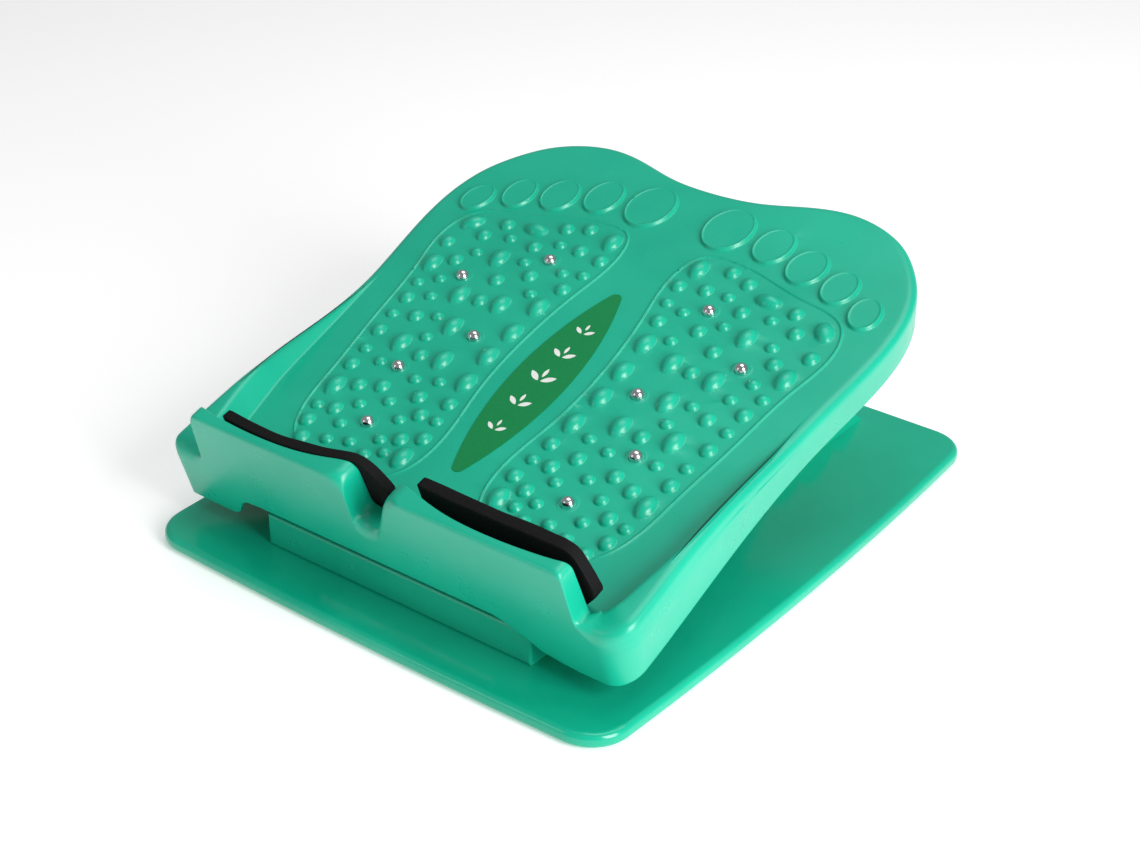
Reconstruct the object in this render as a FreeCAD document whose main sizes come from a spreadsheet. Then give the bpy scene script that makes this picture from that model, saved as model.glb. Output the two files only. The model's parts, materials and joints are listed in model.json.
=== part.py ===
import FreeCAD, Part
import math
import os
from FreeCAD import Matrix, Placement, Rotation, Vector

# A calf-stretch slant board. The origin is the centre of the base at floor level, +Y points from
# the heel end to the toe end and +Z is up. The board's own pieces are drawn in the board frame:
# x across, y up the slope and z out of the tread, and BOARD carries them to their place at rest.

DIMENSIONS = {
    "base_width": 330.0, "base_depth": 386.0, "base_bow_side": 6.0, "base_bow_end": 3.0,
    "base_corner": 24.0, "base_bottom": 1.0, "base_top": 9.0, "base_skin": 3.5, "base_rim": 5.0,
    "base_top_round": 3.6, "base_bottom_round": 2.8, "base_rib": 2.4,
    "foot_radius": 8.0, "foot_height": 3.0, "foot_recess": 2.0,
    "rail_inner": 86.0, "rail_thick": 7.0, "rail_front": -154.0, "rail_level": 18.0, "ear_radius": 8.5,
    "wall_front": -160.0, "wall_length": 186.0, "wall_thick": 6.0, "wall_height": 19.8,
    "rod_radius": 4.0, "rod_play": 0.05, "press_play": 0.02,
    "hinge_rod_length": 194.0, "clip_radius": 7.0, "clip_thick": 1.6,
    "tilt": 19.0, "heel_y": -182.4, "heel_z": 40.0,
    "board_half": 157.0, "board_front": 14.4, "board_corner": 12.0, "panel_thick": 3.5,
    "skirt_depth": 24.0, "skirt_wall": 3.0, "skirt_draft": 3.0, "skirt_front": 13.0, "edge_round": 6.0,
    "rim_height": 14.0, "heel_height": 45.0, "heel_lean": 2.6, "heel_end": 129.5,
    "notch_half": 17.5, "notch_floor": 12.0, "notch_rise": 0.88, "bead_width": 1.4, "bead_height": 0.8,
    "hinge_v": 30.0, "hinge_n": -13.0, "prop_v": 215.0, "prop_n": -12.0,
    "cap_round": 7.5, "cap_tab": 18.0, "cap_tab_thick": 3.0,
    "hinge_cap_width": 18.0, "prop_cap_width": 16.0, "cap_screw_reach": 13.0,
    "screw_radius": 1.5, "head_radius": 3.2, "head_height": 2.0,
    "frame_screw_length": 15.0, "cap_screw_length": 9.0,
    "prop_angle": -62.6, "prop_length": 106.0, "arm_inner": 64.0, "arm_width": 14.0, "arm_thick": 12.0,
    "hub_radius": 7.8, "bar_radius": 5.0, "bar_length": 169.0,
    "roller_radius": 8.0, "roller_width": 5.5,
    "pad_bottom": 1.8, "pad_left_thick": 5.4, "pad_right_thick": 6.6,
    "ball_radius": 4.0, "ball_centre": 0.2,
    "label_start": 72.0, "label_end": 240.0, "label_half": 18.0, "label_thick": 0.3, "label_tip": 4.0,
}

# Tops of the rack's humps and bottoms of the notches between them, as (y, height above the base).
RACK_END = [(173, 0), (158, 12)]
RACK_NOTCHES = [(139.6, 6), (101.4, 11.6), (69, 13.5), (36, 14)]
RACK_HUMPS = [(150, 12.8), (122, 20.3), (84, 19.3), (52, 18.6), (24, 18.3)]
RAIL_SCREWS = [-128, -45, 10, 84]
WALL_SCREWS = [-60, 0, 60]
FEET = [(x, y) for x in (-128, 128) for y in (-152, 0, 152)]

# Half of the board's plan outline, from the right heel corner round the toe lobe to the centre.
OUTLINE = [(157, 36), (155.5, 90), (155, 150), (158.5, 205), (163, 250), (161.5, 281), (155, 303),
           (143, 322), (128, 337), (109, 347), (85, 351.5), (60, 348), (33, 340.5), (0, 337.5)]
# Inner face of the right heel wall in plan, and of the rim that goes on from it round the corner.
HEEL_INNER = [(18, 30.8), (25, 29.4), (32, 27.6), (46, 24.6), (61, 22.9), (75, 22.4), (90, 22.6), (106, 23.6),
              (121, 25.4), (127, 26.6)]
RIM_INNER = [(132, 29.5), (135.5, 34), (137.5, 41), (139.5, 52), (143, 74), (146, 92), (148.5, 120),
             (150.5, 150), (152.5, 180), (154, 205)]
# Lower edge of the heel skirt, raised between its two ends: (x, n).
ARCH = [(-116, -24), (-112, -21.5), (-107, -13), (-102, -10), (-90, -9.3), (74, -9.3), (80, -10.8),
        (89, -14.2), (95, -16.6), (102, -20.8), (114, -23), (126, -24)]
# Foam pads: wall side in plan and height of the top against x. The left pad is glued along its
# wall's hollow face, the right one spans it like a bowstring, and both droop at the right end.
PAD_LINES = {
    "left": [(-107, 24.9), (-92, 23.7), (-76, 23.1), (-61, 23.6), (-46, 25.4), (-32, 28.4), (-25, 30.1),
             (-18, 31.7), (-8, 32.2), (3.5, 32.3)],
    "right": [(25.5, 32.6), (38, 32.1), (60, 31.6), (85, 31.5), (110, 31.6), (122, 31.7), (131, 31.6)],
}
PAD_TOPS = {
    "left": [(-107, 45.4), (-30, 45.2), (-16, 43), (-6.4, 39), (3.5, 29.5)],
    "right": [(25.5, 45.6), (118, 45.4), (124, 41.5), (131, 20.5)],
}
TOES = [(28, 308, 31, 38, 0), (61, 305, 24, 31, 0), (88.5, 296, 24, 30, 0), (114.5, 288, 21, 28, 0),
        (138, 274.5, 19, 26, 12)]
BALLS = [(56.7, 242.5), (98.9, 209.6), (58, 169), (83.7, 129.8), (70.4, 86.5)]
# The thin raised line around the right foot's field of bumps.
FOOT_LINE = [(28, 282), (45, 285), (72, 280), (100, 272), (130, 262), (138, 243), (133, 205), (127, 160),
             (120, 110), (115, 80), (103, 60), (80, 52.5), (50, 52.5), (30, 62), (22, 85), (27, 130),
             (29, 180), (24, 225), (20, 262)]
# Bumps of the right foot by size: small domes, middle domes and large lemon shapes.
BUMP_SIZES = {"small": (4.0, 4.0, 2.8), "middle": (4.5, 5.4, 3.4), "large": (5.4, 8.4, 4.0)}
BUMPS = {
    "small": [(60, 257), (93, 250), (30, 239), (43, 236), (71, 235), (105, 231), (111, 202), (122, 194),
              (50, 213), (106, 187), (90, 174), (118, 165), (85, 157), (113, 134), (53, 130), (68, 126),
              (97, 129), (34, 104), (70, 105), (55, 96), (85, 96), (108, 85), (55, 79), (85, 79),
              (46, 72), (70, 70), (56, 66), (84, 66)],
    "middle": [(51, 276), (65, 271), (103, 260), (28, 254), (45, 257), (74, 249), (111, 246), (129, 232),
               (34, 224), (60, 226), (113, 220), (77, 215), (75, 196), (119, 180), (103, 169), (116, 150),
               (78, 143), (112, 120), (36, 118), (56, 115), (82, 113), (96, 108), (46, 104), (32, 90),
               (44, 84), (96, 87), (105, 73), (99, 61)],
    "large": [(31, 271), (88, 232), (125, 212), (38, 205), (61, 198), (90, 195), (39, 181), (76, 171),
              (40, 159), (63, 145), (96, 147), (38, 136), (109, 102), (34, 73)],
}
TURNED_BUMPS = [(83, 263, 90), (125, 253, 35)]

# Where the bearing caps and their lugs start, out from the middle.
HINGE_CAP_X = 64.0
PROP_CAP_X = 46.0

doc = FreeCAD.newDocument("slant_board")
sheet = doc.addObject("Spreadsheet::Sheet", "dims")
for row, (alias, value) in enumerate(DIMENSIONS.items(), start=1):
    sheet.set(f"A{row}", alias.replace("_", " "))
    sheet.set(f"B{row}", str(value))
    sheet.setAlias(f"B{row}", alias)
doc.recompute()
subparts = []


def dim(alias):
    """A driving dimension, read back from the sheet."""
    return float(sheet.get(alias))


def at(x, y, z, axis=(1, 0, 0), degrees=0.0):
    return Placement(Vector(x, y, z), Rotation(Vector(*axis), degrees))


TILT = dim("tilt")
BOARD = at(0, dim("heel_y"), dim("heel_z"), degrees=TILT)
HINGE = BOARD.multVec(Vector(0, dim("hinge_v"), dim("hinge_n")))
PROP = BOARD.multiply(at(0, dim("prop_v"), dim("prop_n"), degrees=dim("prop_angle")))
ALONG_X = Rotation(Vector(0, 1, 0), 90)


# ---------------------------------------------------------------- document helpers
def keep(item, label):
    """Name a finished sub-part, which is exported under its label."""
    item.Label = label
    subparts.append(item)
    return item


def primitive(kind, name, place, **sizes):
    """A Part primitive whose sizes are expressions, most of them on the sheet's aliases."""
    item = doc.addObject(kind, name)
    for key, text in sizes.items():
        item.setExpression(key, text)
    item.Placement = place
    return item


def x_cylinder(name, radius, length, frame, x, y, z):
    """A cylinder along X in a frame, from x towards +X."""
    place = frame.multiply(Placement(Vector(x, y, z), ALONG_X))
    return primitive("Part::Cylinder", name, place, Radius=radius, Height=length)


def box(name, length, width, height, place):
    return primitive("Part::Box", name, place, Length=length, Width=width, Height=height)


def fuse(name, *items):
    item = doc.addObject("Part::MultiFuse", name)
    item.Shapes = list(items)
    return item


def cut(name, base, *tools):
    item = doc.addObject("Part::Cut", name)
    item.Base = base
    item.Tool = tools[0] if len(tools) == 1 else fuse(name + "_tools", *tools)
    return item


def shaped(label, shape, place=None):
    """A sub-part whose shape is computed below from the sheet's values."""
    item = doc.addObject("Part::Feature", label)
    item.Shape = shape
    if place:
        item.Placement = place
    return keep(item, label)


# ---------------------------------------------------------------- shape helpers
def block(x0, x1, y0, y1, z0, z1):
    return Part.makeBox(x1 - x0, y1 - y0, z1 - z0, Vector(x0, y0, z0))


def prism(points, direction):
    """A solid from a closed list of corners, extruded along a vector."""
    wire = Part.makePolygon([Vector(*p) for p in points + points[:1]])
    return Part.Face(wire).extrude(Vector(*direction))


def spline(points, **options):
    curve = Part.BSplineCurve()
    curve.interpolate([Vector(*p) for p in points], **options)
    return curve.toShape()


def mirrored(shape):
    return shape.mirror(Vector(0, 0, 0), Vector(1, 0, 0))


def both_sides(shape):
    return [shape, mirrored(shape)]


def ellipse_solid(width, depth, height):
    """An upright elliptical cylinder on z = 0."""
    long_side, short_side = max(width, depth) / 2, min(width, depth) / 2
    curve = Part.Ellipse(Vector(0, 0, 0), long_side, short_side)
    face = Part.Face(Part.Wire(curve.toShape()))
    if depth > width:
        face.rotate(Vector(0, 0, 0), Vector(0, 0, 1), 90)
    return face.extrude(Vector(0, 0, height))


# ---------------------------------------------------------------- base
def bowed_plate(inset, z0, z1):
    """The base's plan, with outward-bowed sides and round corners, as a slab."""
    half_x = dim("base_width") / 2 - inset
    half_y = dim("base_depth") / 2 - inset
    corner_x = half_x - dim("base_bow_side")
    corner_y = half_y - dim("base_bow_end")
    stops = [(-corner_x, -corner_y), (0, -half_y), (corner_x, -corner_y), (half_x, 0),
             (corner_x, corner_y), (0, half_y), (-corner_x, corner_y), (-half_x, 0)]
    points = [Vector(x, y, z0) for x, y in stops + stops[:1]]
    arcs = [Part.Arc(*points[i:i + 3]).toShape() for i in (0, 2, 4, 6)]
    slab = Part.Face(Part.Wire(arcs)).extrude(Vector(0, 0, z1 - z0))
    upright = [e for e in slab.Edges if abs(e.BoundBox.ZLength - (z1 - z0)) < 1e-6]
    return slab.makeFillet(dim("base_corner") - inset, upright)


def screw_places():
    """Heads of the screws that hold the rack frame, looking up from below."""
    rail_x = dim("rail_inner") + dim("rail_thick") / 2
    wall_y = dim("wall_front") + dim("wall_thick") / 2
    spots = [(side * rail_x, y) for side in (-1, 1) for y in RAIL_SCREWS]
    spots += [(x, wall_y) for x in WALL_SCREWS]
    return [at(x, y, 3.2) for x, y in spots]


def base_plate():
    bottom, top = dim("base_bottom"), dim("base_top")
    plate = bowed_plate(0, bottom, top)
    for level, radius in ((top, dim("base_top_round")), (bottom, dim("base_bottom_round"))):
        rim = [e for e in plate.Edges if e.BoundBox.ZLength < 1e-6 and abs(e.BoundBox.ZMin - level) < 1e-6]
        plate = plate.makeFillet(radius, rim)
    ceiling, half = top - dim("base_skin"), dim("base_rib") / 2
    hollow = bowed_plate(dim("base_rim"), bottom - 1, ceiling)
    ribs = [block(x - half, x + half, -200, 200, bottom, ceiling) for x in (-110, -50, 0, 50, 110)]
    ribs += [block(-170, 170, y - half, y + half, bottom, ceiling) for y in (-120, -60, 0, 60, 120)]
    bosses = [Part.makeCylinder(6.5, ceiling - bottom - 0.5, p.Base - Vector(0, 0, 1.7))
              for p in screw_places()]
    bosses += [Part.makeCylinder(12, ceiling - bottom, Vector(x, y, bottom)) for x, y in FEET]
    for stiffener in ribs + bosses:
        hollow = hollow.cut(stiffener)
    plate = plate.cut(hollow)
    wells = [Part.makeCylinder(dim("foot_radius") + dim("rod_play"), dim("foot_recess"), Vector(x, y, bottom))
             for x, y in FEET]
    for place in screw_places():
        wells.append(Part.makeCylinder(dim("head_radius") + 0.3, 3, place.Base - Vector(0, 0, 3)))
        wells.append(Part.makeCylinder(dim("screw_radius") + 0.2, 12, place.Base - Vector(0, 0, 1)))
    return plate.cut(wells)


def rail_profile():
    """Edges of the rack rail's side view, with (y, z) as the sketch's own x and y."""
    floor, front, reach = dim("base_top"), dim("rail_front"), dim("ear_radius")
    level = floor + dim("rail_level")
    ear = Vector(HINGE.y, HINGE.z, 0)
    notches = [Vector(y, floor + z, 0) for y, z in RACK_NOTCHES]
    humps = [Vector(y, floor + z, 0) for y, z in RACK_HUMPS]
    toe, shoulder = [Vector(y, floor + z, 0) for y, z in RACK_END]
    edges = [Part.LineSegment(Vector(front, floor, 0), toe), Part.LineSegment(toe, shoulder),
             Part.Arc(shoulder, humps[0], notches[0])]
    edges += [Part.Arc(notches[i], humps[i + 1], notches[i + 1]) for i in range(len(notches) - 1)]
    last_end = Vector(humps[-1].x - 10, level, 0)
    ear_foot = Vector(ear.x + 2 * reach, level, 0)
    ear_rear = ear + Vector(reach, 0, 0)
    drop = math.sqrt(reach ** 2 - (front - ear.x) ** 2)
    ear_front = Vector(front, ear.y - drop, 0)
    edges.append(Part.Arc(notches[-1], humps[-1], last_end))
    edges.append(Part.LineSegment(last_end, ear_foot))
    edges.append(Part.LineSegment(ear_foot, ear_rear))
    edges.append(Part.Arc(ear_rear, ear + Vector(0, reach, 0), ear - Vector(reach, 0, 0)))
    edges.append(Part.Arc(ear - Vector(reach, 0, 0), ear + Vector(-0.8, -0.6, 0) * reach, ear_front))
    edges.append(Part.LineSegment(ear_front, Vector(front, floor, 0)))
    return edges


def rack_rail(label, x):
    """A rail with round-topped notches for the prop and an ear for the hinge rod."""
    body = doc.addObject("PartDesign::Body", label + "_body")
    sketch = body.newObject("Sketcher::SketchObject", label + "_profile")
    plane = next(f for f in body.Origin.OriginFeatures if f.Role == "YZ_Plane")
    sketch.AttachmentSupport = [(plane, "")]
    sketch.MapMode = "FlatFace"
    sketch.addGeometry(rail_profile(), False)
    pad = body.newObject("PartDesign::Pad", label + "_pad")
    pad.Profile = sketch
    pad.setExpression("Length", "dims.rail_thick")
    bore = body.newObject("Sketcher::SketchObject", label + "_bore")
    bore.AttachmentSupport = [(plane, "")]
    bore.MapMode = "FlatFace"
    rod = dim("rod_radius") + dim("press_play")
    bore.addGeometry(Part.Circle(Vector(HINGE.y, HINGE.z, 0), Vector(0, 0, 1), rod), False)
    pocket = body.newObject("PartDesign::Pocket", label + "_pocket")
    pocket.Profile = bore
    pocket.Type = "ThroughAll"
    pocket.Reversed = True
    body.Placement = at(x, 0, 0)
    doc.recompute()
    pilots = [primitive("Part::Cylinder", f"{label}_pilot_{i}", at(x + dim("rail_thick") / 2, y, dim("base_top")),
                        Radius="dims.screw_radius + dims.press_play", Height="dims.frame_screw_length")
              for i, y in enumerate(RAIL_SCREWS)]
    return keep(cut(label, body, *pilots), label)


def cross_wall():
    """The upright plate across the front of both rails, below the heel."""
    base_z, front = dim("base_top"), dim("wall_front")
    plate = box("wall_plate", "dims.wall_length", "dims.wall_thick", "dims.wall_height",
                at(-dim("wall_length") / 2, front, base_z))
    rounded = doc.addObject("Part::Fillet", "wall_rounded")
    rounded.Base = plate
    doc.recompute()
    upright = [i + 1 for i, e in enumerate(plate.Shape.Edges)
               if e.BoundBox.YLength < 1e-6 and abs(e.BoundBox.YMin - front) < 1e-6]
    rounded.Edges = [(i, 1.5, 1.5) for i in upright]
    pilots = [primitive("Part::Cylinder", f"wall_pilot_{i}", at(x, front + dim("wall_thick") / 2, base_z),
                        Radius="dims.screw_radius + dims.press_play", Height="dims.frame_screw_length")
              for i, x in enumerate(WALL_SCREWS)]
    keep(cut("front_cross_wall", rounded, *pilots), "front_cross_wall")


def screw(name, length):
    """A cross-head screw standing head down, its head's upper face on z = 0."""
    head = primitive("Part::Cylinder", name + "_head", at(0, 0, -dim("head_height")),
                     Radius="dims.head_radius", Height="dims.head_height")
    shank = primitive("Part::Cylinder", name + "_shank", at(0, 0, 0), Radius="dims.screw_radius",
                      Height=length)
    slots = []
    for i, turn in enumerate((0, 90)):
        slot = box(f"{name}_slot_{i}", "dims.head_radius * 1.3", "0.8 mm", "1 mm", Placement())
        centre = Vector(-dim("head_radius") * 0.65, -0.4, 0)
        turned = at(0, 0, -dim("head_height") - 0.2, (0, 0, 1), turn)
        slot.Placement = turned.multiply(Placement(centre, Rotation()))
        slots.append(slot)
    return cut(name, fuse(name + "_blank", head, shank), *slots)


def group(label, source, places):
    """Identical separate solids in one node."""
    doc.recompute()
    copies = []
    for place in places:
        copy = source.Shape.copy()
        copy.Placement = place.multiply(copy.Placement)
        copies.append(copy)
    shaped(label, Part.makeCompound(copies))


# ---------------------------------------------------------------- foot board
def outline(inset, level, front=None):
    """The board's plan outline as a closed wire, moved inwards by inset, at a height."""
    half, corner = dim("board_half") - inset, dim("board_corner") - inset
    front = dim("board_front") + inset if front is None else front
    moved = [Vector(half, front + corner, level)]
    for i, (x, y) in enumerate(OUTLINE):
        before = OUTLINE[i - 1] if i else (x, y - 1)
        after = OUTLINE[i + 1] if i + 1 < len(OUTLINE) else (-OUTLINE[i - 1][0], OUTLINE[i - 1][1])
        along = Vector(after[0] - before[0], after[1] - before[1], 0).normalize()
        moved.append(Vector(x, y, level) + Vector(-along.y, along.x, 0) * inset)
    loop = moved + [Vector(-p.x, p.y, level) for p in reversed(moved[:-1])]
    side = spline([tuple(p) for p in loop], InitialTangent=Vector(0, 1, 0), FinalTangent=Vector(0, -1, 0))
    bend = corner * (1 - math.sqrt(0.5))
    heel_end, middle = Vector(half - corner, front, level), Vector(half - bend, front + bend, level)
    right_arc = Part.Arc(heel_end, middle, loop[0])
    left_arc = Part.Arc(loop[-1], Vector(-middle.x, middle.y, level), Vector(-heel_end.x, front, level))
    heel = Part.makeLine(Vector(-heel_end.x, front, level), heel_end)
    return Part.Wire([heel, right_arc.toShape(), side, left_arc.toShape()])


def loft(lower, upper):
    return Part.makeLoft([lower, upper], True, True)


def shell_blank():
    """The board's outer form: the tread with its drafted skirt and a round top edge."""
    blank = loft(outline(dim("skirt_draft"), -dim("skirt_depth"), dim("skirt_front")), outline(0, 0))
    top = [e for e in blank.Edges if e.BoundBox.ZMin > -1e-6]
    return blank.makeFillet(dim("edge_round"), top)


def tread_region(low, high):
    """The space inside the heel walls and rims, as a tall tool."""
    right = spline([(0, 31.5, low)] + [(x, y, low) for x, y in HEEL_INNER + RIM_INNER])
    tip_x, tip_y = RIM_INNER[-1]
    top = Part.makeLine(Vector(tip_x, tip_y, low), Vector(-tip_x, tip_y, low))
    return Part.Face(Part.Wire([right, top, mirrored(right)])).extrude(Vector(0, 0, high - low))


def side_rims():
    """Rims that stand up along the heel corners and sides and fade out up the slope."""
    low, high = -3.0, dim("rim_height")
    fade = [(-180, 0, high), (-180, 55, high), (-180, 85, high - 1.6), (-180, 130, high - 7.6),
            (-180, 195, -0.5)]
    edges = [Part.makeLine(Vector(*fade[0]), Vector(*fade[1])),
             spline(fade[1:], InitialTangent=Vector(0, 1, 0)),
             Part.makeLine(Vector(*fade[-1]), Vector(-180, 195, low)),
             Part.makeLine(Vector(-180, 195, low), Vector(-180, 0, low)),
             Part.makeLine(Vector(-180, 0, low), Vector(*fade[0]))]
    wedge = Part.Face(Part.Wire(edges)).extrude(Vector(360, 0, 0))
    plan = Part.Face(outline(0, low)).extrude(Vector(0, 0, high - low))
    return plan.common(wedge).cut(tread_region(low - 1, high + 1))


def heel_wall():
    """Two stops behind the heels, hollowed in plan, with a scooped gap between them."""
    front, top, end = dim("board_front"), dim("heel_height"), dim("heel_end")
    lean = dim("heel_lean")
    wall = block(-end, end, front, 45, -1, top).cut(tread_region(-2, top + 1))
    wall = wall.cut(prism([(-end - 1, front, 0), (-end - 1, front + lean, top), (-end - 1, front, top)],
                          (2 * end + 2, 0, 0)))
    slope = prism([(end + 1, 0, 12), (end + 1, 0, top + 1), (end - 2.6, 0, top + 1)], (0, 60, 0))
    wall = wall.cut(both_sides(slope))
    half, floor, rise = dim("notch_half"), dim("notch_floor"), dim("notch_rise")
    start = floor - rise * (front + 6)
    corners = [Vector(x, -6, start + z)
               for x, z in ((-half, 14), (0, 0), (half, 14), (half, 120), (-half, 120))]
    edges = [Part.Arc(*corners[:3]).toShape(), Part.makeLine(corners[2], corners[3]),
             Part.makeLine(corners[3], corners[4]), Part.makeLine(corners[4], corners[0])]
    reach = 56.0
    scoop = Part.Face(Part.Wire(edges)).extrude(Vector(0, reach, rise * reach))
    return wall, scoop


def cap_dome(size, x, y, turn):
    """A low dome: the top of a squashed sphere, sunk a little into the tread."""
    half_x, half_y, height = BUMP_SIZES[size]
    sunk = 0.4
    spread = math.sqrt(1 - sunk * sunk)
    scale = height / (1 - sunk)
    dome = Part.makeSphere(1, Vector(0, 0, 0), Vector(0, 0, 1), 15, 90, 360)
    stretch = Matrix()
    stretch.scale(half_x / spread, half_y / spread, scale)
    dome = dome.transformGeometry(stretch)
    dome.Placement = at(x, y, -sunk * scale, (0, 0, 1), turn)
    return dome


def foot_relief():
    """Bumps, toe pads and outline of the right foot."""
    relief = [cap_dome(size, x, y, 0) for size, spots in BUMPS.items() for x, y in spots]
    relief += [cap_dome("large", x, y, turn) for x, y, turn in TURNED_BUMPS]
    for x, y, width, depth, turn in TOES:
        pad = ellipse_solid(width, depth, 2.1)
        pad = pad.makeFillet(0.9, [e for e in pad.Edges if e.BoundBox.ZMin > 2.0])
        pad.Placement = at(x, y, -0.5, (0, 0, 1), turn)
        relief.append(pad)
    relief.append(foot_line())
    return relief


def foot_line():
    width = dim("bead_width")
    count = len(FOOT_LINE)
    moved = []
    for i, (x, y) in enumerate(FOOT_LINE):
        before, after = FOOT_LINE[i - 1], FOOT_LINE[(i + 1) % count]
        along = Vector(after[0] - before[0], after[1] - before[1], 0).normalize()
        moved.append((x - along.y * width, y + along.x * width, -0.5))
    loops = [spline([(x, y, -0.5) for x, y in FOOT_LINE], PeriodicFlag=True),
             spline(moved, PeriodicFlag=True)]
    rings = [Part.Face(Part.Wire(loop)).extrude(Vector(0, 0, 0.5 + dim("bead_height"))) for loop in loops]
    rings.sort(key=lambda ring: ring.Volume)
    return rings[1].cut(rings[0])


def lug(x, width, v0, v1, axis_n):
    return block(x, x + width, v0, v1, axis_n, -dim("panel_thick") + 0.2)


def underside_ribs():
    """Stiffening ribs below the tread, kept away from the rods, the prop and the rack."""
    top, low = -dim("panel_thick") + 0.2, -11.0
    ribs = []
    for x in (-135, -110, 110, 135):
        ribs.append(block(x - 1.25, x + 1.25, 15, 345, low, top))
    for x in (-40, 0, 40):
        ribs.append(block(x - 1.25, x + 1.25, 15, 190, low, top))
    for y in (62, 110, 160):
        ribs.append(block(-158, 158, y - 1.25, y + 1.25, low, top))
    for y in (230, 300):
        ribs += both_sides(block(88, 160, y - 1.25, y + 1.25, low, top))
    clearance = Part.makeCylinder(6, 300, Vector(-150, dim("hinge_v"), dim("hinge_n")), Vector(1, 0, 0))
    return [rib.cut(clearance) for rib in ribs]


def ball_seats():
    """Bosses below the tread and the round seats that the steel balls are pressed into."""
    centre, radius = dim("ball_centre"), dim("ball_radius") + dim("press_play")
    bosses, seats = [], []
    for x, y in BALLS:
        bosses += both_sides(Part.makeCylinder(7, 4, Vector(x, y, -7.3)))
        seats += both_sides(Part.makeSphere(radius, Vector(x, y, centre)))
    return bosses, seats


def foot_board():
    """The moulded tread, in the board frame."""
    draft, wall, depth = dim("skirt_draft"), dim("skirt_wall"), dim("skirt_depth")
    front = dim("skirt_front")
    cavity = loft(outline(draft + wall, -depth - 1, front + wall), outline(wall, -dim("panel_thick")))
    shell = shell_blank().cut(cavity)
    inside = loft(outline(draft + 1, -depth, front + 1), outline(1, 0))
    bosses, seats = ball_seats()
    ribs = [rib.common(inside) for rib in underside_ribs()]
    hinge_w, prop_w = dim("hinge_cap_width"), dim("prop_cap_width")
    lugs = both_sides(lug(HINGE_CAP_X, hinge_w, dim("hinge_v") - 8, dim("hinge_v") + 18, dim("hinge_n")))
    lugs += both_sides(lug(PROP_CAP_X, prop_w, dim("prop_v") - 18, dim("prop_v") + 8, dim("prop_n")))
    stops, scoop = heel_wall()
    relief = foot_relief()
    relief += [mirrored(item) for item in relief]
    board = shell.multiFuse([side_rims(), stops]).cut(scoop)
    board = board.multiFuse(ribs + bosses + lugs)
    board = board.multiFuse(relief)
    rod = dim("rod_radius") + dim("rod_play")
    cuts = seats + [front_arch()]
    for v, n in ((dim("hinge_v"), dim("hinge_n")), (dim("prop_v"), dim("prop_n"))):
        cuts.append(Part.makeCylinder(rod, 300, Vector(-150, v, n), Vector(1, 0, 0)))
    pilot = dim("screw_radius") + dim("press_play")
    for place in cap_screw_places():
        point = place.Base
        cuts.append(Part.makeCylinder(pilot, dim("cap_screw_length") + 1, point - Vector(0, 0, 0.5)))
    board = board.cut(cuts)
    return max(board.Solids, key=lambda solid: solid.Volume)


def front_arch():
    """The raised lower edge of the heel skirt, which clears the rack frame."""
    low = ARCH[0][1] - 5
    corners = [(ARCH[0][0], low)] + ARCH + [(ARCH[-1][0], low)]
    return prism([(x, 5, n) for x, n in corners], (0, 15, 0))


# ---------------------------------------------------------------- bearing caps
def cap_screw_places():
    """Upper faces of the cap screws' heads, in the board frame."""
    reach, tab = dim("cap_screw_reach"), dim("cap_tab_thick")
    spots = []
    for side in (-1, 1):
        hinge_x = side * (HINGE_CAP_X + dim("hinge_cap_width") / 2)
        prop_x = side * (PROP_CAP_X + dim("prop_cap_width") / 2)
        spots.append(at(hinge_x, dim("hinge_v") + reach, dim("hinge_n") - tab))
        spots.append(at(prop_x, dim("prop_v") - reach, dim("prop_n") - tab))
    return spots


def bearing_cap(label, x, width, v, n, toward):
    """A cap below a lug: half round under the rod, with a screw tab to one side."""
    tab, reach = dim("cap_tab"), dim("cap_screw_reach")
    round_part = x_cylinder(label + "_round", "dims.cap_round", width, BOARD, x, v, n)
    start = v if toward > 0 else v - tab
    tab_part = box(label + "_tab", width, "dims.cap_tab", "dims.cap_tab_thick",
                   BOARD.multiply(at(x, start, n - dim("cap_tab_thick"))))
    above = box(label + "_above", width, "2 * dims.cap_tab", "dims.cap_round",
                BOARD.multiply(at(x, v - tab, n)))
    bore = x_cylinder(label + "_bore", "dims.rod_radius + dims.rod_play", width, BOARD, x, v, n)
    hole_x = x + dim(width.split(".")[1]) / 2
    hole = primitive("Part::Cylinder", label + "_hole", BOARD.multiply(at(hole_x, v + toward * reach, n - 5)),
                     Radius="dims.screw_radius + 0.1", Height="10 mm")
    keep(cut(label, fuse(label + "_blank", round_part, tab_part), above, bore, hole), label)


def bearing_caps():
    for side, sign in (("left", -1), ("right", 1)):
        width = dim("hinge_cap_width")
        x = HINGE_CAP_X if sign > 0 else -HINGE_CAP_X - width
        bearing_cap(f"hinge_cap_{side}", x, "dims.hinge_cap_width", dim("hinge_v"), dim("hinge_n"), 1)
        width = dim("prop_cap_width")
        x = PROP_CAP_X if sign > 0 else -PROP_CAP_X - width
        bearing_cap(f"prop_cap_{side}", x, "dims.prop_cap_width", dim("prop_v"), dim("prop_n"), -1)


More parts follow.
